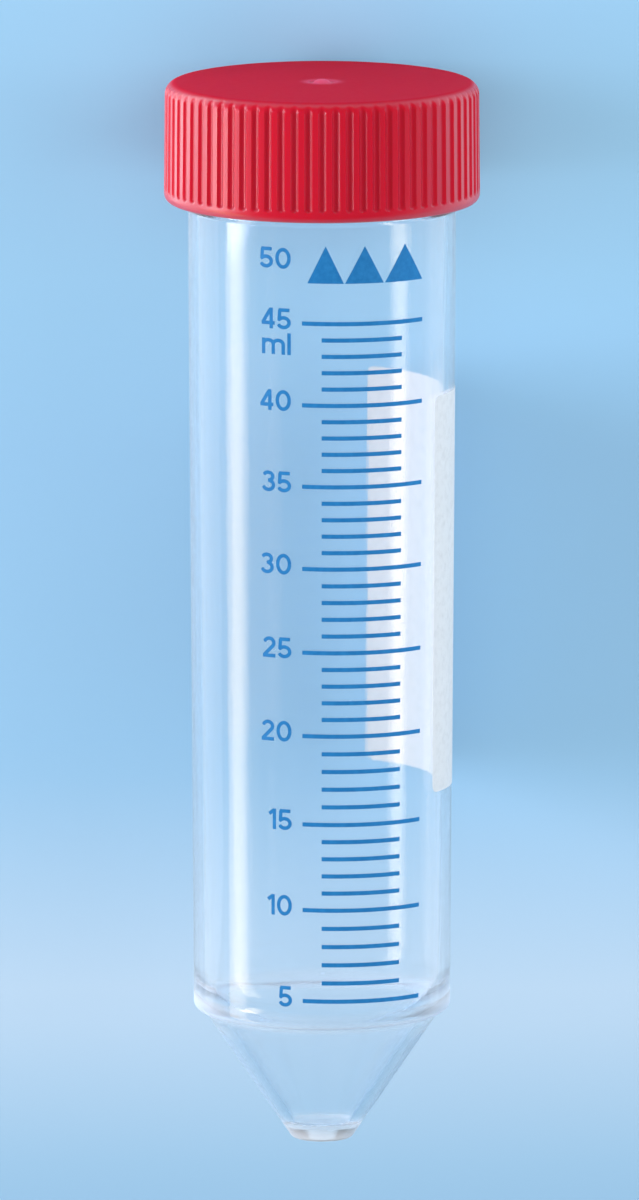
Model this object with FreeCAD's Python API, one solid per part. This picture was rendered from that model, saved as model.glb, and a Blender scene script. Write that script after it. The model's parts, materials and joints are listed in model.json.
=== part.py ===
"""A 50 ml conical tube with its screw cap, lying on its side.

Each piece is drawn upright on its own axis, with the tip at height 0 and the mouth at the top,
and is then laid down. +X runs from the tip to the cap, +Z is up, and the origin is on the
surface under the middle of the whole thing. All sizes are in millimetres.
"""

import FreeCAD, Part
import math
import os

# barrel: one piece of clear plastic, slightly wider at the mouth so that it leaves its mould
TUBE_LENGTH = 114.0
BARREL_TOP_R = 14.4
BARREL_FOOT_R = 13.88
STRAIGHT_FROM = 95.0
WALL_AT_MOUTH = 0.85
BORE_FOOT_R = 12.7

# conical end, set in from the barrel by a small rounded ledge, with a blunt tip
CONE_HEIGHT = 14.3
CONE_TOP_R = 12.8
LEDGE_ROUND = 0.95
TIP_R = 3.2
TIP_ROUND = 0.8
FLOOR_THICKNESS = 2.2
CONE_WALL = 1.35
BORE_FLOOR_ROUND = 0.9
BORE_SHOULDER_ROUND = 1.6

# neck: stands in the cap and carries a single-start thread
NECK_FROM = 102.0
NECK_R = 14.2
LIP_ROUND = 0.35
THREAD_PITCH = 3.3
THREAD_TURNS = 2.0
THREAD_FROM = 105.4
THREAD_DEPTH = 0.85
THREAD_ROOT_WIDTH = 1.7
THREAD_CREST_WIDTH = 0.7
THREAD_SUNK = 0.2

# cap: one piece of coloured plastic, fluted for grip, with a plain band round its open end,
# slightly narrower at the top so that it leaves its mould
CAP_R = 17.0
CAP_DRAFT = 0.1
CAP_RIM_HEIGHT = 102.7
CAP_PLATE = 1.6
SEAT_GAP = 0.05
CAP_TOP_ROUND = 1.3
CAP_RIM_ROUND = 0.9
CAP_BORE_R = 15.35
CAP_BORE_ROUND = 0.6
CAP_MOUTH_CHAMFER = 0.4
FLUTES = 72
FLUTE_R = 0.45
FLUTE_DEPTH = 0.3
PLAIN_BAND = 1.8
FLUTE_TOP_MARGIN = 0.7
GATE_R = 1.35
GATE_DEPTH = 0.25

# seal ring under the cap's plate, which plugs the mouth
SEAL_CLEARANCE = 0.1
SEAL_WALL = 0.9
SEAL_HEIGHT = 3.0
SEAL_TIP_CHAMFER = 0.35

MOUTH_R = NECK_R - WALL_AT_MOUTH
PLATE_UNDERSIDE = TUBE_LENGTH + SEAT_GAP
CAP_TOP = PLATE_UNDERSIDE + CAP_PLATE


def vec(radius, height):
    """A point of an outline, which is drawn in the plane of X and Z."""
    return FreeCAD.Vector(radius, 0, height)


def revolved(corners):
    """Turns an outline round the axis. Each corner is (radius, height, rounding of the corner)."""
    edges = []
    ends = []
    for i, (radius, height, rounding) in enumerate(corners):
        here = vec(radius, height)
        if not rounding:
            ends.append((here, here))
            continue
        to_last = (vec(*corners[i - 1][:2]) - here).normalize()
        to_next = (vec(*corners[(i + 1) % len(corners)][:2]) - here).normalize()
        half_angle = to_last.getAngle(to_next) / 2
        start = here + to_last * (rounding / math.tan(half_angle))
        end = here + to_next * (rounding / math.tan(half_angle))
        bisector = (to_last + to_next).normalize()
        middle = here + bisector * (rounding / math.sin(half_angle) - rounding)
        edges.append(Part.Arc(start, middle, end).toShape())
        ends.append((start, end))
    for i, (_, end) in enumerate(ends):
        start = ends[(i + 1) % len(ends)][0]
        edges.append(Part.LineSegment(end, start).toShape())
    outline = Part.Wire(Part.__sortEdges__(edges))
    return Part.Face(outline).revolve(FreeCAD.Vector(), FreeCAD.Vector(0, 0, 1), 360)


def thread():
    """The ridge that winds up the neck: a trapezium swept along a helix, sunk a little into the wall."""
    turns = Part.makeHelix(THREAD_PITCH, THREAD_PITCH * THREAD_TURNS, NECK_R)
    slope = (THREAD_ROOT_WIDTH - THREAD_CREST_WIDTH) / 2 / THREAD_DEPTH
    root = THREAD_ROOT_WIDTH / 2 + THREAD_SUNK * slope
    crest = THREAD_CREST_WIDTH / 2
    section = Part.makePolygon([
        vec(NECK_R - THREAD_SUNK, -root),
        vec(NECK_R + THREAD_DEPTH, -crest),
        vec(NECK_R + THREAD_DEPTH, crest),
        vec(NECK_R - THREAD_SUNK, root),
        vec(NECK_R - THREAD_SUNK, -root),
    ])
    ridge = Part.Wire(turns).makePipeShell([section], True, True)
    ridge.translate(FreeCAD.Vector(0, 0, THREAD_FROM))
    return ridge


def tube():
    """The clear barrel, its conical end and its threaded neck."""
    slope = (CONE_TOP_R - TIP_R) / CONE_HEIGHT
    inset = CONE_WALL * math.hypot(1, slope)
    bore_floor_r = TIP_R + FLOOR_THICKNESS * slope - inset
    shoulder_height = FLOOR_THICKNESS + (BORE_FOOT_R - bore_floor_r) / slope
    body = revolved([
        (0, 0, 0),
        (TIP_R, 0, TIP_ROUND),
        (CONE_TOP_R, CONE_HEIGHT, 0),
        (BARREL_FOOT_R, CONE_HEIGHT, LEDGE_ROUND),
        (BARREL_TOP_R, STRAIGHT_FROM, 0),
        (BARREL_TOP_R, NECK_FROM, 0),
        (NECK_R, NECK_FROM + BARREL_TOP_R - NECK_R, 0),
        (NECK_R, TUBE_LENGTH, LIP_ROUND),
        (MOUTH_R, TUBE_LENGTH, LIP_ROUND),
        (BORE_FOOT_R, shoulder_height, BORE_SHOULDER_ROUND),
        (bore_floor_r, FLOOR_THICKNESS, BORE_FLOOR_ROUND),
        (0, FLOOR_THICKNESS, 0),
    ])
    return body.fuse(thread())


def cap():
    """The fluted cap with its seal ring. The thread inside it is left out."""
    seal_r = MOUTH_R - SEAL_CLEARANCE
    seal_tip = PLATE_UNDERSIDE - SEAL_HEIGHT
    body = revolved([
        (0, CAP_TOP, 0),
        (CAP_R - CAP_DRAFT, CAP_TOP, CAP_TOP_ROUND),
        (CAP_R, CAP_RIM_HEIGHT + PLAIN_BAND, 0),
        (CAP_R, CAP_RIM_HEIGHT, CAP_RIM_ROUND),
        (CAP_BORE_R + CAP_MOUTH_CHAMFER, CAP_RIM_HEIGHT, 0),
        (CAP_BORE_R, CAP_RIM_HEIGHT + CAP_MOUTH_CHAMFER, 0),
        (CAP_BORE_R, PLATE_UNDERSIDE, CAP_BORE_ROUND),
        (seal_r, PLATE_UNDERSIDE, 0),
        (seal_r, seal_tip + SEAL_TIP_CHAMFER, 0),
        (seal_r - SEAL_TIP_CHAMFER, seal_tip, 0),
        (seal_r - SEAL_WALL, seal_tip, 0),
        (seal_r - SEAL_WALL, PLATE_UNDERSIDE, 0),
        (0, PLATE_UNDERSIDE, 0),
    ])
    bottom = CAP_RIM_HEIGHT + PLAIN_BAND
    foot = vec(CAP_R - FLUTE_DEPTH + FLUTE_R, bottom)
    along_wall = vec(-CAP_DRAFT, CAP_TOP - bottom)
    flute = Part.makeCylinder(FLUTE_R, CAP_TOP - FLUTE_TOP_MARGIN - bottom, foot, along_wall)
    flutes = []
    for i in range(FLUTES):
        turned = flute.copy()
        turned.rotate(FreeCAD.Vector(), FreeCAD.Vector(0, 0, 1), i * 360 / FLUTES)
        flutes.append(turned)
    gate = Part.makeCylinder(GATE_R, GATE_DEPTH, vec(0, CAP_TOP - GATE_DEPTH))
    return body.cut(Part.makeCompound(flutes)).cut(gate)


def laid_down(shape):
    """Lays an upright piece on its side, resting on the cap's rounded rim and the tube's ledge."""
    rim = (CAP_RIM_HEIGHT + CAP_RIM_ROUND, CAP_R - CAP_RIM_ROUND, CAP_RIM_ROUND)
    ledge = (CONE_HEIGHT + LEDGE_ROUND, BARREL_FOOT_R - LEDGE_ROUND, LEDGE_ROUND)
    along, across, rounding = (a - b for a, b in zip(rim, ledge))
    tilt = math.atan2(across, along) + math.asin(rounding / math.hypot(along, across))
    lift = rim[1] * math.cos(tilt) + rim[2] - rim[0] * math.sin(tilt)
    tip_end = TIP_ROUND * math.cos(tilt) - (TIP_R - TIP_ROUND) * math.sin(tilt) - TIP_ROUND
    cap_end = (CAP_TOP - CAP_TOP_ROUND) * math.cos(tilt) + CAP_TOP_ROUND
    cap_end += (CAP_R - CAP_DRAFT - CAP_TOP_ROUND) * math.sin(tilt)
    axis = FreeCAD.Vector(math.cos(tilt), 0, math.sin(tilt))
    back = FreeCAD.Vector(math.sin(tilt), 0, -math.cos(tilt))
    side = FreeCAD.Vector(0, -1, 0)
    turn = FreeCAD.Rotation(side, back, axis, "ZXY")
    move = FreeCAD.Vector(-(tip_end + cap_end) / 2, 0, lift)
    laid = shape.copy()
    laid.Placement = FreeCAD.Placement(move, turn).multiply(laid.Placement)
    return laid


os.makedirs("parts", exist_ok=True)
for name, piece in {"tube": tube(), "cap": cap()}.items():
    laid = laid_down(piece)
    laid.exportStep(f"parts/{name}.step")
    print(f"{name}: valid {laid.isValid()}, {len(laid.Solids)} solid, {laid.Volume:.1f} mm3")
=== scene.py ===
import json
import math

import bmesh
import bpy
import numpy as np
from mathutils import Matrix, Vector
from mathutils.geometry import delaunay_2d_cdt


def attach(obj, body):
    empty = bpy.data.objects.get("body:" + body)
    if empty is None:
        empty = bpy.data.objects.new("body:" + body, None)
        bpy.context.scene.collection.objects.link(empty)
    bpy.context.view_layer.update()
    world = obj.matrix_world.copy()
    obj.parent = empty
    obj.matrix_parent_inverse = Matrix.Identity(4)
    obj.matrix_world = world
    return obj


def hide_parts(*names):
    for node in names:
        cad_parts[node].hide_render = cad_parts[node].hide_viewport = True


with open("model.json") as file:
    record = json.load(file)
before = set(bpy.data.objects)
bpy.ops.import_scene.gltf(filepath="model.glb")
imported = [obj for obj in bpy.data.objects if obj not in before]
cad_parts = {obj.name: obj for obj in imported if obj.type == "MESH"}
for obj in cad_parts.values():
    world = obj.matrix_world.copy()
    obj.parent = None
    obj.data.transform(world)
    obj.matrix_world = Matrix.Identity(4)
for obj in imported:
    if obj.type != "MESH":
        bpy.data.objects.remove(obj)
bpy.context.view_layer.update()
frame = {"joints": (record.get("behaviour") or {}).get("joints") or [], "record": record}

# =============================================================================================
# The tube: one injection moulding in clear polypropylene. The barrel opens slightly towards the
# mouth so that it leaves its mould, the conical end is set in from it by a rounded ledge, and a
# single-start thread for the cap winds up the neck. It lies on its side, cap and ledge down.

# sizes are in mm, and heights are along the tube from its tip
RACK_BAND_HEIGHT = 98.5
BARREL_TOP_R = 14.4
BARREL_FOOT_R = 13.88
TAPER_FROM = 16.0
STRAIGHT_FROM = 95.0
CONE_HEIGHT = 14.3
CONE_TOP_R = 12.8
CREASE_ROUND = 0.12
LEDGE_ROUND = 0.92
TIP_R = 3.2
TIP_ROUND = 0.8
TUBE_LENGTH = 114.0
MOUTH_R = 13.35
LIP_ROUND = 0.35
BORE_TOP = 113.6
BORE_FOOT_R = 12.7
BORE_SHOULDER_ROUND = 8.0
CONE_WALL = 1.35
FLOOR_THICKNESS = 2.2
BORE_FLOOR_ROUND = 0.9
NECK_FROM = 102.2
NECK_R = 14.2
THREAD_PITCH = 3.3
THREAD_FROM = 105.4
THREAD_TURNS = 2
THREAD_DEPTH = 0.85
THREAD_ROOT_WIDTH = 1.9
THREAD_CREST_WIDTH = 0.5
THREAD_ROWS = (103.9, 113.525)
# a narrow row of faces beside each rounding keeps the long faces truly straight
FLAT_BY_CORNER = 0.05
# edges that turn by more than this many degrees stay crisp
SHARP_FROM = 40
COLUMNS = 256

# the cap is drawn off along the tube's own axis, and the rack band is centred on it
along = Vector(frame["joints"][0]["axis"])
band = next(m for m in frame["record"]["mounts"] if m["name"] == "rack_band")
tip = Vector(band["pos_m"]) - along * RACK_BAND_HEIGHT / 1000
side = Vector((0, -1, 0))
front = side.cross(along)


def laid_down(angle, radius, height):
    """Where points of the upright tube are, in metres, now that it lies. Angle 0 is the front."""
    angle, radius, height = np.broadcast_arrays(angle, radius, height)
    places = np.multiply.outer(height / 1000, np.array(along))
    places += np.multiply.outer(radius * np.cos(angle) / 1000, np.array(front))
    places += np.multiply.outer(radius * np.sin(angle) / 1000, np.array(side))
    return (places + np.array(tip)).reshape(-1, 3)


def stretch(start, end, steps):
    """Evenly spaced corners along a straight stretch of an outline, with both its ends."""
    return [(*place, 0) for place in np.linspace(start, end, steps + 1)]


def rounded(corners, steps=6):
    """The rows of an outline. Each corner is (radius, height, rounding of the corner)."""
    rows = []
    for i, (radius, height, rounding) in enumerate(corners):
        here = Vector((radius, height))
        if not rounding:
            rows.append((radius, height))
            continue
        to_last = (Vector(corners[i - 1][:2]) - here).normalized()
        to_next = (Vector(corners[i + 1][:2]) - here).normalized()
        half_angle = to_last.angle(to_next) / 2
        centre = here + (to_last + to_next).normalized() * rounding / math.sin(half_angle)
        start = here + to_last * rounding / math.tan(half_angle)
        end = here + to_next * rounding / math.tan(half_angle)
        rows.append(tuple(start + to_last * FLAT_BY_CORNER))
        for k in range(steps + 1):
            spoke = (start.lerp(end, k / steps) - centre).normalized()
            rows.append(tuple(centre + spoke * rounding))
        rows.append(tuple(end + to_next * FLAT_BY_CORNER))
    return rows


def turned(name, rows, columns, relief):
    """Turns an outline that starts and ends on the axis; relief moves each point in or out."""
    around = np.linspace(0, 2 * math.pi, columns, endpoint=False)
    angles, radii = np.meshgrid(around, [radius for radius, _ in rows[1:-1]])
    _, heights = np.meshgrid(around, [height for _, height in rows[1:-1]])
    points = np.concatenate([
        laid_down(0, 0, rows[0][1]),
        laid_down(angles, radii + relief(angles, radii, heights), heights),
        laid_down(0, 0, rows[-1][1]),
    ])
    starts = [1 + i * columns for i in range(len(rows) - 2)]
    faces = []
    for k in range(columns):
        n = (k + 1) % columns
        faces.append((0, 1 + n, 1 + k))
        faces += [(s + k, s + n, s + columns + n, s + columns + k) for s in starts[:-1]]
        faces.append((starts[-1] + k, starts[-1] + n, len(points) - 1))
    mesh = bpy.data.meshes.new(name)
    mesh.from_pydata(points.tolist(), [], faces)
    return finished(name, mesh)


def finished(name, mesh):
    """Turns every face outwards, shades the mesh smooth with crisp corners, and shows it."""
    work = bmesh.new()
    work.from_mesh(mesh)
    bmesh.ops.recalc_face_normals(work, faces=work.faces)
    work.to_mesh(mesh)
    work.free()
    mesh.shade_smooth()
    mesh.set_sharp_from_angle(angle=math.radians(SHARP_FROM))
    made = bpy.data.objects.new(name, mesh)
    bpy.context.scene.collection.objects.link(made)
    return made


def ease(start, end, at):
    """0 before start, 1 after end, and smooth in between."""
    t = np.clip((at - start) / (end - start), 0, 1)
    return t * t * (3 - 2 * t)


def ridge(angles, heights, first, turns, root, crest):
    """How much of a thread's ridge stands at each place: 1 on its crest, 0 beside it."""
    found = np.zeros_like(heights)
    run_out = 0.07
    round_once = ((angles - math.pi / 2) / (2 * math.pi)) % 1
    for turn in range(-1, 4):
        wound = round_once + turn
        off = np.abs(heights - first - THREAD_PITCH * wound)
        flank = 1 - ease(crest / 2, root / 2, off)
        ends = ease(0, run_out, wound) * ease(0, run_out, turns - wound)
        found = np.maximum(found, flank * ends)
    return found


def neck_thread(angles, radii, heights):
    """Moves the outside of the neck out where the thread winds up it."""
    there = (radii > NECK_R - 0.2) & (heights > THREAD_FROM - 2)
    stands = ridge(angles, heights, THREAD_FROM, THREAD_TURNS, THREAD_ROOT_WIDTH,
                   THREAD_CREST_WIDTH)
    return np.where(there, THREAD_DEPTH * stands, 0)


# the cone's inside runs alongside its outside, one wall away
slope = (CONE_TOP_R - TIP_R) / CONE_HEIGHT
bore_floor_r = TIP_R + FLOOR_THICKNESS * slope - CONE_WALL * math.hypot(1, slope)
bore_foot = FLOOR_THICKNESS + (BORE_FOOT_R - bore_floor_r) / slope

tube = turned("conical_tube", rounded([
    (0, 0, 0),
    (TIP_R, 0, TIP_ROUND),
    (CONE_TOP_R, CONE_HEIGHT, CREASE_ROUND),
    (BARREL_FOOT_R, CONE_HEIGHT, LEDGE_ROUND),
    *stretch((BARREL_FOOT_R, TAPER_FROM), (BARREL_TOP_R, STRAIGHT_FROM), 8)[1:],
    (BARREL_TOP_R, NECK_FROM - 0.35, 0),
    (BARREL_TOP_R, NECK_FROM - 0.3, 0),
    (BARREL_TOP_R - 0.06, NECK_FROM - 0.16, 0),
    (NECK_R, NECK_FROM, 0),
    *stretch((NECK_R, THREAD_ROWS[0]), (NECK_R, THREAD_ROWS[1]), 70),
    (NECK_R, TUBE_LENGTH, LIP_ROUND),
    (MOUTH_R, TUBE_LENGTH, LIP_ROUND),
    *stretch((MOUTH_R, BORE_TOP), (BORE_FOOT_R, bore_foot), 10)[1:-1],
    (BORE_FOOT_R, bore_foot, BORE_SHOULDER_ROUND),
    (bore_floor_r, FLOOR_THICKNESS, BORE_FLOOR_ROUND),
    (0, FLOOR_THICKNESS, 0),
]), COLUMNS, neck_thread)


class Shade:
    """A socket that is worked with as a number: an expression on it adds the nodes for it."""

    def __init__(self, tree, socket=None):
        self.tree, self.socket = tree, socket

    def node(self, kind, settings=(), sockets=(), out=0):
        """Adds a node of a kind, with its settings and then the values or links of its sockets.
        A colour ramp's stops are pairs of a place and a colour."""
        made = self.tree.nodes.new("ShaderNode" + kind)
        for name, setting in dict(settings).items():
            if name == "stops":
                ends = made.color_ramp.elements
                ends[0].position, ends[1].position = setting[0][0], setting[-1][0]
                ends[0].color, ends[1].color = (*setting[0][1], 1), (*setting[-1][1], 1)
                for place, colour in setting[1:-1]:
                    ends.new(place).color = (*colour, 1)
            else:
                setattr(made, name, setting)
        for name, value in dict(sockets).items():
            if isinstance(value, Shade):
                self.tree.links.new(value.socket, made.inputs[name])
            else:
                made.inputs[name].default_value = value
        return Shade(self.tree, made.outputs[out] if made.outputs else None)

    def sum(self, operation, *values, clamp=False):
        """Works one sum with numbers or sockets."""
        settings = {"operation": operation, "use_clamp": clamp}
        return self.node("Math", settings, enumerate(values))

    def __add__(self, other):
        return self.sum("ADD", self, other)

    def __sub__(self, other):
        return self.sum("SUBTRACT", self, other)

    def __rsub__(self, other):
        return self.sum("SUBTRACT", other, self)

    def __mul__(self, other):
        return self.sum("MULTIPLY", self, other)

    __radd__, __rmul__ = __add__, __mul__

    def ease(self, start, end):
        """0 below start, 1 above end, and smooth in between."""
        settings = {"interpolation_type": "SMOOTHSTEP"}
        return self.node("MapRange", settings, {"Value": self, "From Min": start, "From Max": end})

    def between(self, start, full, fading, end):
        """1 from full to fading, and 0 below start and above end."""
        return self.ease(start, full) * (1 - self.ease(fading, end))

    def blend(self, first, second):
        """The first colour where this is 0 and the second where it is 1."""
        colours = {0: self, 6: first, 7: second}
        return self.node("Mix", {"data_type": "RGBA"}, colours, out=2)

    def dot(self, vector):
        """How far this place is along a direction."""
        settings = {"operation": "DOT_PRODUCT"}
        return self.node("VectorMath", settings, {0: self, 1: vector}, out="Value")

    def vector(self, operation, other):
        """Works this place with another, or with one number for each direction."""
        return self.node("VectorMath", {"operation": operation}, {0: self, 1: other})

    def noise(self, scale, detail=3.0, roughness=0.5):
        """Smooth random patches, about 1 / scale apart."""
        sockets = {"Vector": self, "Scale": scale, "Detail": detail, "Roughness": roughness}
        return self.node("TexNoise", {}, sockets)

    def dented(self, strength, distance):
        """A surface that rises and falls with this, by about a distance in metres."""
        return self.node("Bump", {}, {"Height": self, "Strength": strength, "Distance": distance})


def finish(name, piece):
    """Puts an empty finish on a piece, and gives a start for its nodes and each place on it."""
    made = bpy.data.materials.new(name)
    made.use_nodes = True
    made.node_tree.nodes.clear()
    piece.data.materials.append(made)
    start = Shade(made.node_tree)
    return start, start.node("TexCoord", out="Object")


# clear, smooth and very slightly milky, with faint flow lines along the wall
start, here = finish("clear plastic", tube)
height = here.vector("SUBTRACT", tip).dot(along) * 1000
stretched = here.vector("MULTIPLY", (0.08, 1, 1))
flow = stretched.noise(900, 4)
haze = here.noise(60, 3)
wall = start.node("BsdfPrincipled", {}, {
    "Base Color": haze.blend((0.975, 0.984, 0.992, 1), (0.99, 0.995, 0.998, 1)),
    "Roughness": haze * 0.06 + 0.03,
    "IOR": 1.49,
    "Transmission Weight": 1.0,
    "Normal": flow.dented(0.12, 0.0001),
})
# the wall is a little milky, more so edge-on, and much of that is painted light: the edges are
# whiter for the bright bands that refraction gives, and the tip, the foot and the wall just under
# the cap are whitened over dark refraction. The crease carries a painted highlight band of
# lavender grey, and the cone's sides carry painted shade in a darker blue grey.
slant = start.node("LayerWeight", {}, {"Blend": 0.5}, out="Facing")
tip_painted_light = 1 - height.ease(1.0, 2.4)
cone_painted_shade = height.between(1.5, 3.5, 11.5, 13.6)
crease_painted_highlight = height.between(13.6, 14.4, 15.0, 16.4)
foot = height.between(13.8, 14.6, 15.2, 17.5)
# the diffuse colour: white, with a darker blue grey on the cone as painted shade and lavender grey
# at the crease as a painted highlight
milk_and_painted_light = start.node("BsdfDiffuse", {}, {
    "Color": crease_painted_highlight.blend(cone_painted_shade.blend((0.80, 0.84, 0.90, 1), (0.40, 0.54, 0.70, 1)),
                          (0.60, 0.70, 0.84, 1)),
})
# how much diffuse shows: some real milkiness edge-on, with painted light at the foot, just under
# the cap, at the tip and at the crease
edge_milk_and_painted_light = height.ease(30, 60) * 0.06 + foot * 0.55 + height.ease(92, 101) * 0.03 + 0.10
milkiness_and_painted_light = slant.ease(0.15, 1.0) * edge_milk_and_painted_light + tip_painted_light * 0.42 + crease_painted_highlight * 0.2 + 0.008
milkiness_and_painted_light = milkiness_and_painted_light + cone_painted_shade * slant.ease(0.35, 1.0) * 0.5
wall = start.node("MixShader", {}, {0: milkiness_and_painted_light, 1: wall, 2: milk_and_painted_light})
# lamps shine straight through it, and soft light between other things passes it unseen
passed = start.node("BsdfTransparent", {}, {"Color": (0.988, 0.992, 0.996, 1)})
to_lamp = start.node("LightPath", out="Is Shadow Ray")
start.node("OutputMaterial", {}, {
    "Surface": start.node("MixShader", {}, {0: to_lamp, 1: wall, 2: passed}),
})
tube.visible_diffuse = False
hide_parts("tube")
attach(tube, "tube")

# =============================================================================================
# The scale: blue ink, screen-printed on the front of the barrel. A short line marks each
# millilitre and a long one each fifth, with numerals on the left and three arrowheads at 50.
# Places across it are in degrees round the barrel, and heights are in mm above the tip.

FIVES = (17.63, 27.61, 36.99, 46.65, 55.75, 64.87, 73.82, 82.66, 91.53)
LINE_WIDTH = 0.46
LONG_LINE = (-8.6, 48.3)
SHORT_LINE = (-0.2, 36.5)
NUMERAL_HEIGHT = 2.25
NUMERALS_END = -13.4
NUMERAL_LIFT = 0.4
UNIT_DROP = 3.5
FIFTY_FOOT = 97.35
ARROWHEADS = ((-6.3, 9.4), (9.8, 27.3), (27.8, 48.2))
ARROWHEAD_FOOT = 95.9
ARROWHEAD_TIP = 99.95
PRINT_SKEW = 0.27
INK_FROM = 0.01
INK = 0.02
CUT_EVERY = 1.25
per_mm = math.degrees(1 / BARREL_TOP_R)


def wrapped(name, flat):
    """Wraps a flat print, drawn in degrees round the barrel and mm up it, as a film of ink."""
    across = [v.co.x for v in flat.verts]
    for cut in np.arange(min(across) + CUT_EVERY, max(across), CUT_EVERY):
        everything = [*flat.verts, *flat.edges, *flat.faces]
        bmesh.ops.bisect_plane(flat, geom=everything, plane_co=(cut, 0, 0), plane_no=(1, 0, 0))
    raised = bmesh.ops.extrude_face_region(flat, geom=flat.faces[:], use_keep_orig=True)
    for v in raised["geom"]:
        if isinstance(v, bmesh.types.BMVert):
            v.co.z = INK
    for v in flat.verts:
        wall = np.interp(v.co.y, (CONE_HEIGHT, STRAIGHT_FROM), (BARREL_FOOT_R, BARREL_TOP_R))
        turn = math.radians(v.co.x)
        height = v.co.y - PRINT_SKEW * math.sin(turn)
        v.co = Vector(laid_down(turn, wall + INK_FROM + v.co.z, height)[0])
    mesh = bpy.data.meshes.new(name)
    flat.to_mesh(mesh)
    flat.free()
    return finished(name, mesh)


def shape(flat, corners):
    """Adds a flat shape to a print."""
    flat.faces.new([flat.verts.new((x, y, 0)) for x, y in corners])


def bow(x, y, wide, tall, start, end):
    """Points round an oval, between two directions in degrees."""
    turns = np.radians(np.linspace(start, end, round(abs(end - start) / 15) + 1))
    return [(x + wide * math.cos(t), y + tall * math.sin(t)) for t in turns]


# each character's strokes, with its height as 1
STROKE = 0.175
STROKES = {
    "0": [bow(0.38, 0.5, 0.2975, 0.4175, 0, 360)],
    "1": [[(0.3, 0), (0.3, 1)], [(0.03, 0.74), (0.27, 0.92)]],
    "2": [bow(0.34, 0.7, 0.245, 0.2175, 165, -40) + [(0.09, 0.12)], [(0, 0.0825), (0.66, 0.0825)]],
    "3": [bow(0.31, 0.7275, 0.235, 0.19, 155, -90), bow(0.31, 0.31, 0.27, 0.2275, 90, -160)],
    "4": [[(0.5, 0), (0.5, 1)], [(0, 0.27), (0.68, 0.27)], [(0.46, 0.93), (0.06, 0.27)]],
    "5": [[(0.08, 0.9175), (0.62, 0.9175)],
          [(0.135, 0.93)] + bow(0.32, 0.315, 0.2775, 0.2325, 140, -155)],
    "m": [[(0.0825, 0), (0.0825, 0.76)], bow(0.334, 0.48, 0.2515, 0.1975, 180, 0) + [(0.5855, 0)],
          bow(0.837, 0.48, 0.2515, 0.1975, 180, 0) + [(1.0885, 0)]],
    "l": [[(0.0825, 0), (0.0825, 1.05)]],
}
BETWEEN = 0.12


def letters(flat, text, right, foot):
    """Adds characters to a print, drawn with one flat pen and set against their right end."""
    spots, faces, start = [], [], 0
    for character in text:
        for stroke in STROKES[character]:
            line = [np.array((x + start, y)) for x, y in stroke]
            for here, there in zip(line, line[1:]):
                ahead = (there - here) / np.linalg.norm(there - here) * STROKE / 2
                aside = np.array((-ahead[1], ahead[0]))
                faces.append([len(spots) + k for k in range(4)])
                spots += [here - aside, there - aside, there + aside, here + aside]
            closed = stroke[0] == stroke[-1]
            for x, y in line[1:-1] + line[:1] * closed:
                dot = bow(x, y, STROKE / 2, STROKE / 2, 0, 360)[:-1]
                faces.append([len(spots) + k for k in range(len(dot))])
                spots += dot
        end = max(x for x, _ in spots)
        start = end + BETWEEN
    joined = delaunay_2d_cdt([Vector(spot) for spot in spots], [], faces, 0, 1e-5)
    places, _, filled, _, _, covered_by = joined
    corners = []
    for x, y in places:
        x, y = (x - end) * NUMERAL_HEIGHT, y * NUMERAL_HEIGHT
        corners.append(flat.verts.new((right + x * per_mm, foot + y, 0)))
    for face, covered in zip(filled, covered_by):
        if covered:
            flat.faces.new([corners[i] for i in face])
    for corner in corners:
        if not corner.link_faces:
            flat.verts.remove(corner)


flat = bmesh.new()
for ml in range(5, 46):
    long = ml % 5 == 0
    left, right = LONG_LINE if long else SHORT_LINE
    level = float(np.interp(ml, range(5, 46, 5), FIVES))
    low, high = level - LINE_WIDTH / 2, level + LINE_WIDTH / 2
    shape(flat, [(left, low), (right, low), (right, high), (left, high)])
    if long:
        letters(flat, str(ml), NUMERALS_END, level - NUMERAL_HEIGHT / 2 + NUMERAL_LIFT)
letters(flat, "ml", NUMERALS_END, FIVES[-1] - UNIT_DROP)
letters(flat, "50", NUMERALS_END, FIFTY_FOOT)
for left, right in ARROWHEADS:
    corners = (left, ARROWHEAD_FOOT), (right, ARROWHEAD_FOOT), ((left + right) / 2, ARROWHEAD_TIP)
    shape(flat, corners)
scale = wrapped("scale", flat)

# nearly matt, and a little uneven where the screen laid it down
start, here = finish("blue ink", scale)
cover = here.noise(1500, 4, 0.6)
start.node("OutputMaterial", {}, {"Surface": start.node("BsdfPrincipled", {}, {
    "Base Color": cover.ease(0.3, 0.75).blend((0.010, 0.165, 0.43, 1), (0.018, 0.205, 0.50, 1)),
    "Roughness": cover * 0.2 + 0.38,
    "Specular IOR Level": 0.25,
    "Normal": cover.dented(0.3, 0.00002),
})})
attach(scale, "tube")

# =============================================================================================
# The writing field: a patch of matt white ink round the right side of the barrel, which takes a
# pencil or a marker. It is printed thinly enough for the background to show through a little.

FIELD_SIDES = (57.8, 158.5)
FIELD_ENDS = (39.5, 82.8)
FIELD_ROUND = 0.9

wide = FIELD_ROUND * per_mm
left, right = FIELD_SIDES[0] + wide, FIELD_SIDES[1] - wide
low, high = FIELD_ENDS[0] + FIELD_ROUND, FIELD_ENDS[1] - FIELD_ROUND
corners = []
for quarter, (x, y) in enumerate(((right, high), (left, high), (left, low), (right, low))):
    corners += bow(x, y, wide, FIELD_ROUND, 90 * quarter, 90 * quarter + 90)
flat = bmesh.new()
shape(flat, corners)
field = wrapped("writing_field", flat)

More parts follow.
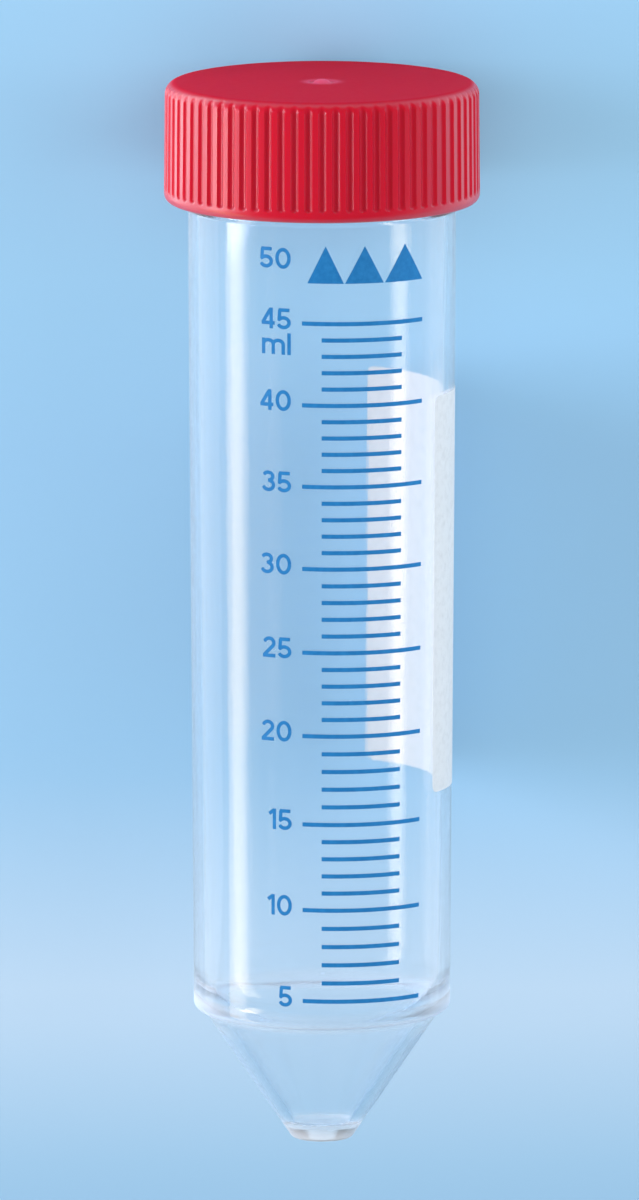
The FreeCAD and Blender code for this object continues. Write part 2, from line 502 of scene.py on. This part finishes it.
# matt and slightly rough
start, here = finish("white ink", field)
cover = here.noise(1100, 5, 0.62)
cloud = here.noise(70, 2)
start.node("OutputMaterial", {}, {"Surface": start.node("BsdfPrincipled", {}, {
    "Base Color": cloud.blend((0.70, 0.735, 0.76, 1), (0.745, 0.77, 0.80, 1)),
    "Roughness": cover * 0.2 + 0.6,
    "Specular IOR Level": 0.2,
    "Alpha": cover.ease(0.25, 0.6) * 0.1 + 0.7,
    "Normal": cover.dented(0.4, 0.00003),
})})
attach(field, "tube")

# =============================================================================================
# The cap: one injection moulding in red polyethylene. Seventy-two grooves give a grip, with a
# plain band round the rim. The gate mark is a small nub in a shallow dimple on the top, which is
# coloured paler round it. A thread runs round inside, and a thin ring under the top plugs the
# tube's mouth.

# sizes as for the tube
CAP_R = 17.0
CAP_DRAFT = 0.1
CAP_TOP = 115.65
CAP_TOP_ROUND = 1.3
CAP_RIM_HEIGHT = 102.7
CAP_RIM_ROUND = 0.9
CAP_MOUTH_CHAMFER = 0.4
CAP_BORE_R = 15.35
CAP_BORE_ROUND = 0.6
PLATE_UNDERSIDE = 114.05
CAP_THREAD_TURNS = 2.3
CAP_THREAD_ROOT_WIDTH = 1.7
CAP_THREAD_ROWS = (103.4, 112.805)
SEAL_R = 13.25
SEAL_WALL = 0.9
SEAL_TIP = 111.05
SEAL_TIP_CHAMFER = 0.35
GROOVES = 72
COLUMNS_A_GROOVE = 10
GROOVE_R = 0.45
GROOVE_DEPTH = 0.3
GROOVES_FROM = 103.85
GROOVES_TO = 115.4
GROOVE_ENDS_OVER = 0.4
# the gate mark's outline: how far from the middle, and how far above the top
GATE = ((0, 0.28), (0.3, 0.26), (0.6, 0.17), (0.85, 0), (1.05, -0.15), (1.2, -0.18),
        (1.38, -0.12), (1.55, -0.02), (1.7, 0))


def cap_wall(height):
    """How far out the cap's wall is between its grooves: it leans in a little towards the top."""
    return CAP_R - CAP_DRAFT * (height - GROOVES_FROM) / (CAP_TOP - GROOVES_FROM)


def grooves_and_thread(angles, radii, heights):
    """Moves the cap's outside in at each groove, and its bore in where the thread winds round."""
    pitch = 2 * math.pi / GROOVES
    aside = ((angles + pitch / 2) % pitch - pitch / 2) * CAP_R
    under, over = GROOVES_FROM + GROOVE_ENDS_OVER, GROOVES_TO - GROOVE_ENDS_OVER
    beyond = np.maximum(0, np.maximum(under - heights, heights - over))
    near = np.minimum(np.hypot(aside, beyond), GROOVE_R)
    floor = cap_wall(heights) - GROOVE_DEPTH + GROOVE_R - np.sqrt(GROOVE_R ** 2 - near ** 2)
    outside = (radii > CAP_BORE_R + 0.6) & (near < GROOVE_R)
    cut = np.where(outside, np.minimum(floor - radii, 0), 0)
    inside = np.abs(radii - CAP_BORE_R) < 0.01
    stands = ridge(angles, heights, THREAD_FROM - THREAD_PITCH / 2, CAP_THREAD_TURNS,
                   CAP_THREAD_ROOT_WIDTH, THREAD_CREST_WIDTH)
    return cut - np.where(inside, THREAD_DEPTH * stands, 0)


cap = turned("screw_cap", rounded([
    *[(radius, CAP_TOP + rise, 0) for radius, rise in GATE],
    *[(radius, CAP_TOP, 0) for radius in (1.8, 4.5, 9, 13)],
    (CAP_R - CAP_DRAFT, CAP_TOP, CAP_TOP_ROUND),
    *[(cap_wall(height), height, 0) for height in (113, 111, 109, 107, 105.5)],
    *[(CAP_R, GROOVES_FROM + over, 0) for over in (0.8, 0.5, 0.36, 0.24, 0.12, 0.0, -0.05)],
    (CAP_R, CAP_RIM_HEIGHT, CAP_RIM_ROUND),
    (CAP_BORE_R + CAP_MOUTH_CHAMFER, CAP_RIM_HEIGHT, 0),
    (CAP_BORE_R, CAP_RIM_HEIGHT + CAP_MOUTH_CHAMFER, 0),
    *stretch((CAP_BORE_R, CAP_THREAD_ROWS[0]), (CAP_BORE_R, CAP_THREAD_ROWS[1]), 57),
    (CAP_BORE_R, PLATE_UNDERSIDE, CAP_BORE_ROUND),
    (SEAL_R, PLATE_UNDERSIDE, 0),
    (SEAL_R, SEAL_TIP + SEAL_TIP_CHAMFER, 0),
    (SEAL_R - SEAL_TIP_CHAMFER, SEAL_TIP, 0),
    (SEAL_R - SEAL_WALL, SEAL_TIP, 0),
    (SEAL_R - SEAL_WALL, PLATE_UNDERSIDE, 0),
    (0, PLATE_UNDERSIDE, 0),
], steps=8), GROOVES * COLUMNS_A_GROOVE, grooves_and_thread)

# a matt red and a glossy one, which shows most where the side turns away and least on the top
start, here = finish("red plastic", cap)
middle = here.vector("SUBTRACT", tip)
height = middle.dot(along) * 1000
on_axis = start.node("VectorMath", {"operation": "SCALE"},
                     {0: tuple(along), "Scale": middle.dot(along)})
across = middle.vector("SUBTRACT", on_axis)
radius = start.node("VectorMath", {"operation": "LENGTH"}, {0: across}, out="Value") * 1000
lean = CAP_DRAFT / (CAP_TOP - GROOVES_FROM)
crest = (radius + (height - GROOVES_FROM) * lean).ease(CAP_R - 0.26, CAP_R - 0.02)
grain = here.noise(1400, 3, 0.6)
cloud = here.noise(90, 3)
disc = height.ease(CAP_TOP - 0.35, CAP_TOP - 0.03)
# the top is coloured paler round the gate mark
gate = disc * (1 - radius.ease(0.7, 2.8))
slant = start.node("LayerWeight", {}, {"Blend": 0.5}, out="Facing")
side_gloss = (crest * 0.15 + 0.85) * (slant.ease(0.06, 0.4) * 0.75 + 0.25)
gloss = side_gloss * (1 - disc) + disc * 0.14
red = cloud.blend((0.54, 0.002, 0.018, 1), (0.58, 0.003, 0.022, 1))
skin = {
    "Subsurface Weight": 0.5,
    "Subsurface Radius": (1.0, 0.16, 0.12),
    "Subsurface Scale": 0.0018,
    "Normal": grain.dented(0.03, 0.00004),
}
deep = start.node("BsdfPrincipled", {}, {
    "Base Color": (gate * 0.8).blend(red, (0.86, 0.12, 0.23, 1)),
    "Roughness": grain * 0.1 + 0.5,
    "Specular IOR Level": 0.0,
    **skin,
})
shiny = start.node("BsdfPrincipled", {}, {
    "Base Color": cloud.blend((0.47, 0.004, 0.022, 1), (0.51, 0.006, 0.028, 1)),
    "Roughness": grain * 0.1 + 0.28,
    "Specular IOR Level": 0.9,
    **skin,
})
start.node("OutputMaterial", {}, {"Surface": start.node("MixShader", {}, {
    0: gloss, 1: deep, 2: shiny,
})})
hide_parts("cap")
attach(cap, "cap")

# =============================================================================================
# The table it lies on: pale blue, with painted light in its colour: a lighter painted glow under
# the conical end that falls off darker beyond the tip, and a slightly brighter blue from the cap
# on, which lifts the shade round the cap. Sizes and places here and below are in metres.

FLOOR_SIZE = 6.0
BLUE = (0.309, 0.558, 0.799)
PAINTED_GLOW_BLUE = (0.479, 0.650, 0.820)
CAP_END_PAINTED_BLUE = (0.330, 0.605, 0.845)
RAMP_FROM = -0.075

mesh = bpy.data.meshes.new("floor")
half = FLOOR_SIZE / 2
mesh.from_pydata([(-half, -half, 0), (half, -half, 0), (half, half, 0), (-half, half, 0)], [],
                 [(0, 1, 2, 3)])
floor = bpy.data.objects.new("floor", mesh)
bpy.context.scene.collection.objects.link(floor)
made = bpy.data.materials.new("table")
made.use_nodes = True
made.node_tree.nodes.clear()
mesh.materials.append(made)
start = Shade(made.node_tree)
here = start.node("TexCoord", out="Object")
# painted light: the stops paint a glow under the conical end, darker beyond the tip, and a
# brighter blue from the cap on
# each stop is this far from RAMP_FROM, which lies beyond the tip
painted_light_ramp = start.node("ValToRGB", {"stops": [
    (0.0, (0.262, 0.475, 0.690)),
    (0.012, (0.324, 0.538, 0.742)),
    (0.030, PAINTED_GLOW_BLUE),
    (0.056, BLUE),
    (0.09, BLUE),
    (0.11, CAP_END_PAINTED_BLUE),
    (1.0, CAP_END_PAINTED_BLUE),
]}, {0: here.dot((1, 0, 0)) - RAMP_FROM})
# the painted light fades out sideways, from 5 to 12 cm off the middle
crossways = here.dot((0, 1, 0))
fade = (crossways * crossways).ease(0.003, 0.014)
start.node("OutputMaterial", {}, {"Surface": start.node("BsdfPrincipled", {}, {
    "Base Color": fade.blend(painted_light_ramp, (*BLUE, 1)),
    "Roughness": here.noise(300) * 0.1 + 0.85,
    "Specular IOR Level": 0.1,
})})

# =============================================================================================
# The light: an even, soft studio. A long strip low on the left draws the bright lines down the
# barrel, with a dim one on the right. Glows just above the table light the sides from below, and
# softboxes all round light the cap and the table.

COOL = (0.965, 0.99, 1.0)
WARM = (1.0, 0.78, 0.5)
BLUISH = (1.0, 1.0, 1.2)
STUDIO_LIGHT = 0.43

world = bpy.data.worlds.new("studio")
bpy.context.scene.world = world
world.use_nodes = True
world.node_tree.nodes.clear()
start = Shade(world.node_tree)
light = start.node("Background", {}, {"Color": (*COOL, 1), "Strength": STUDIO_LIGHT})
backdrop = start.node("Background", {}, {"Color": (*BLUE, 1), "Strength": 1.0})
seen, mirrored, through = [start.node("LightPath", out=ray) for ray in
                           ("Is Camera Ray", "Is Glossy Ray", "Is Transmission Ray")]
start.node("OutputWorld", {}, {"Surface": start.node("MixShader", {}, {
    0: start.sum("ADD", seen, mirrored + through, clamp=True),
    1: light,
    2: backdrop,
})})


def lamp(name, place, aim, length, width, bright, colour=(1, 1, 1), fade=0.15, mirrored=True,
         through=False):
    """A softbox that the camera doesn't see. At a brightness of 1 it is as bright as white paper,
    and it fades towards its long edges. Smooth surfaces show it if mirrored is true, and the
    plastic's inner surfaces do if through is true."""
    light = bpy.data.lights.new(name, "AREA")
    light.shape, light.size, light.size_y = "RECTANGLE", length, width
    light.energy = bright * math.pi * length * width
    light.use_nodes = True
    light.node_tree.nodes.clear()
    start = Shade(light.node_tree)
    place_in = start.node("NewGeometry", out="Parametric")
    across = start.node("SeparateXYZ", {}, {0: place_in}, out="Y")
    start.node("OutputLight", {}, {"Surface": start.node("Emission", {}, {
        "Color": (*colour, 1),
        "Strength": (across * (1 - across) * 4).ease(0.0, fade),
    })})
    made = bpy.data.objects.new(name, light)
    back = (Vector(place) - Vector(aim)).normalized()
    run = Vector((1, 0, 0)) if abs(back.x) < 0.7 else Vector((0, 1, 0))
    run = (run - back * run.dot(back)).normalized()
    made.matrix_world = Matrix((run, back.cross(run), back)).transposed().to_4x4()
    made.location = place
    made.visible_camera = False
    made.visible_glossy = mirrored
    made.visible_transmission = through
    bpy.context.scene.collection.objects.link(made)


# each lamp's name, place, aim, length, width and brightness
lamp("left_strip", (-0.30, 0.60, 0.102), (-0.30, 0, 0.02), 0.61, 0.29, 4.4, WARM, fade=1.0,
     through=True)
lamp("right_strip", (-0.30, -0.60, 0.214), (-0.30, 0, 0.02), 0.61, 0.20, 0.35, WARM, fade=1.0,
     through=True)
for glow, x, y, bright in (("left_tube_glow", -0.005, 0.08, 0.7),
                           ("right_tube_glow", -0.005, -0.08, 0.3),
                           ("left_cap_glow", 0.075, 0.08, 2.6),
                           ("right_cap_glow", 0.075, -0.08, 0.75)):
    lamp(glow, (x, y, 0.003), (x, y, 1), 0.09, 0.10, bright)
lamp("left_cap_box", (0.09, 0.60, 0.20), (0.09, 0, 0.02), 0.30, 0.38, 5.6, BLUISH)
lamp("left_box", (0.08, 0.56, 0.30), (0.05, 0, 0.02), 0.5, 0.25, 3.1, mirrored=False)
lamp("right_box", (0.10, -0.65, 0.40), (0.03, 0, 0.02), 0.8, 0.5, 3.0, mirrored=False)
lamp("end_box", (0.75, 0, 0.17), (0.05, 0, 0.02), 1.0, 0.3, 1.15)
lamp("tip_box", (-0.75, 0, 0.30), (-0.06, 0, 0.02), 0.8, 0.5, 0.25, mirrored=False)
lamp("top_box", (0, 0, 1.5), (0, 0, 0), 1.0, 1.0, 0.95, COOL, mirrored=False)

# =============================================================================================
# The camera: in front of the tube and a little above its cap. It is far off on a long lens, so
# that the two sides of the barrel look nearly parallel.

VIEW_ABOVE = math.radians(9.8)
DISTANCE = 2.0
SENSOR_WIDTH = 36
LENS = 555.5
CENTRE_HEIGHT = 0.0591
CENTRE_ASIDE = -0.00027

lens = bpy.data.cameras.new("camera")
lens.sensor_width = SENSOR_WIDTH
lens.lens = LENS
lens.clip_end = 20
camera = bpy.data.objects.new("camera", lens)
back = along * math.sin(VIEW_ABOVE) + front * math.cos(VIEW_ABOVE)
up = (along - back * along.dot(back)).normalized()
centre = tip + along * CENTRE_HEIGHT + side * CENTRE_ASIDE
camera.matrix_world = Matrix((up.cross(back), up, back)).transposed().to_4x4()
camera.location = centre + back * DISTANCE
bpy.context.scene.collection.objects.link(camera)
bpy.context.scene.camera = camera
bpy.context.scene.view_settings.view_transform = "Standard"
